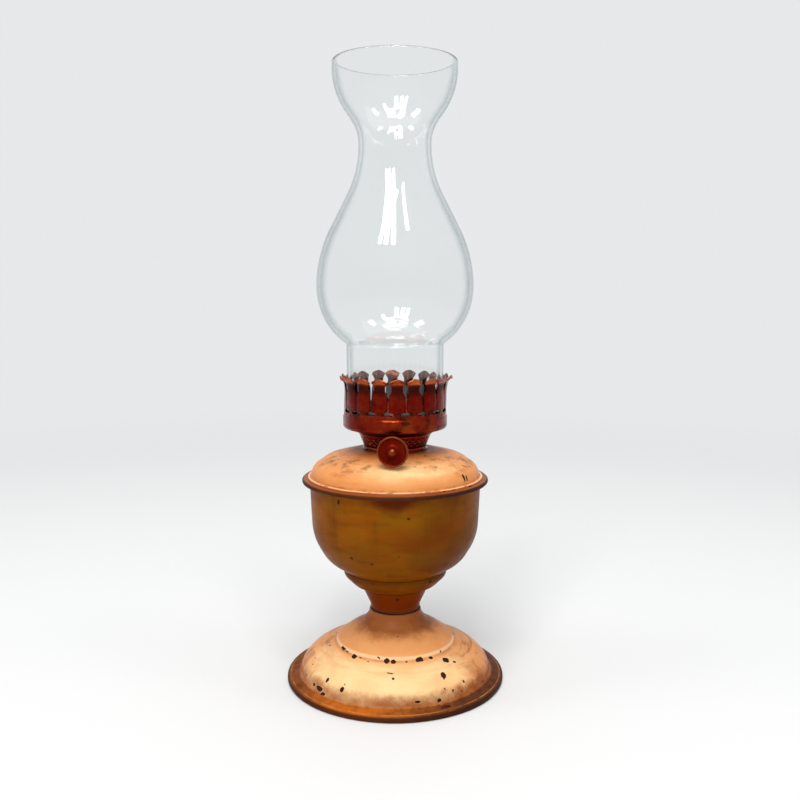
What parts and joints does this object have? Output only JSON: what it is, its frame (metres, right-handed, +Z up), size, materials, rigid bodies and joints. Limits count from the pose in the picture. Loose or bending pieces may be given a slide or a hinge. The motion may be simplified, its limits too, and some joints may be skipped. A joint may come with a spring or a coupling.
{
  "type": "flat-wick kerosene table lamp",
  "caption": "Small flat-wick kerosene table lamp: pedestal foot, pressed-tin font, brass burner with pronged gallery and wick raiser, and a bulb-shaped glass chimney.",
  "frame": {"origin": "centre of the foot's underside, on the surface the lamp stands on", "axes": "+Z up along the lamp's axis; the wick's width and the thumb wheel's spindle lie along Y, with the thumb wheel on the -Y side"},
  "size_m": [0.0916, 0.0916, 0.2533],
  "materials": {
    "cream_enamel": "worn cream paint over rusting tinplate",
    "ochre_enamel": "glossy stained ochre paint",
    "rusted_tinplate": "dark rusted tinplate",
    "burner_brass": "heat-tarnished red-brown brass",
    "spindle_steel": "dull tarnished wire",
    "wick_cotton": "flat woven cotton, charred at the top",
    "clear_glass": "clear blown glass"
  },
  "bodies": {
    "font": {"foot": "cream_enamel", "neck_ferrule": "rusted_tinplate", "stem_cup": "ochre_enamel", "font_bowl": "ochre_enamel", "font_top": "cream_enamel", "font_collar": "burner_brass"},
    "burner": {"burner_base": "burner_brass", "burner_floor": "burner_brass", "air_basket": "burner_brass", "gallery_crown": "burner_brass", "flame_cone": "burner_brass", "wick_tube": "burner_brass", "rack_housing": "burner_brass", "spindle_sleeve": "burner_brass", "vent_tube": "burner_brass"},
    "raiser": {"spindle": "spindle_steel", "front_star_wheel": "burner_brass", "rear_star_wheel": "burner_brass", "thumb_wheel": "burner_brass", "wheel_boss": "spindle_steel"},
    "wick": {"wick": "wick_cotton"},
    "chimney": {"chimney": "clear_glass"}
  },
  "joints": [
    {"name": "burner_lift", "type": "slide", "parent": "font", "child": "burner", "axis": [0, 0, 1], "range_m": [0, 0.055]},
    {"name": "spindle_turn", "type": "hinge", "parent": "burner", "child": "raiser", "pos_m": [0.00385, 0, 0.1018], "axis": [0, 1, 0], "range_deg": [-150, 100]},
    {"name": "wick_raise", "type": "slide", "parent": "burner", "child": "wick", "axis": [0, 0, 1], "range_m": [-0.0074, 0.0049]},
    {"name": "chimney_lift", "type": "slide", "parent": "burner", "child": "chimney", "axis": [0, 0, 1], "range_m": [0, 0.05]}
  ],
  "couplings": [
    {"joint": "spindle_turn", "follows": "wick_raise", "rad_per_m": 350.88}
  ]
}
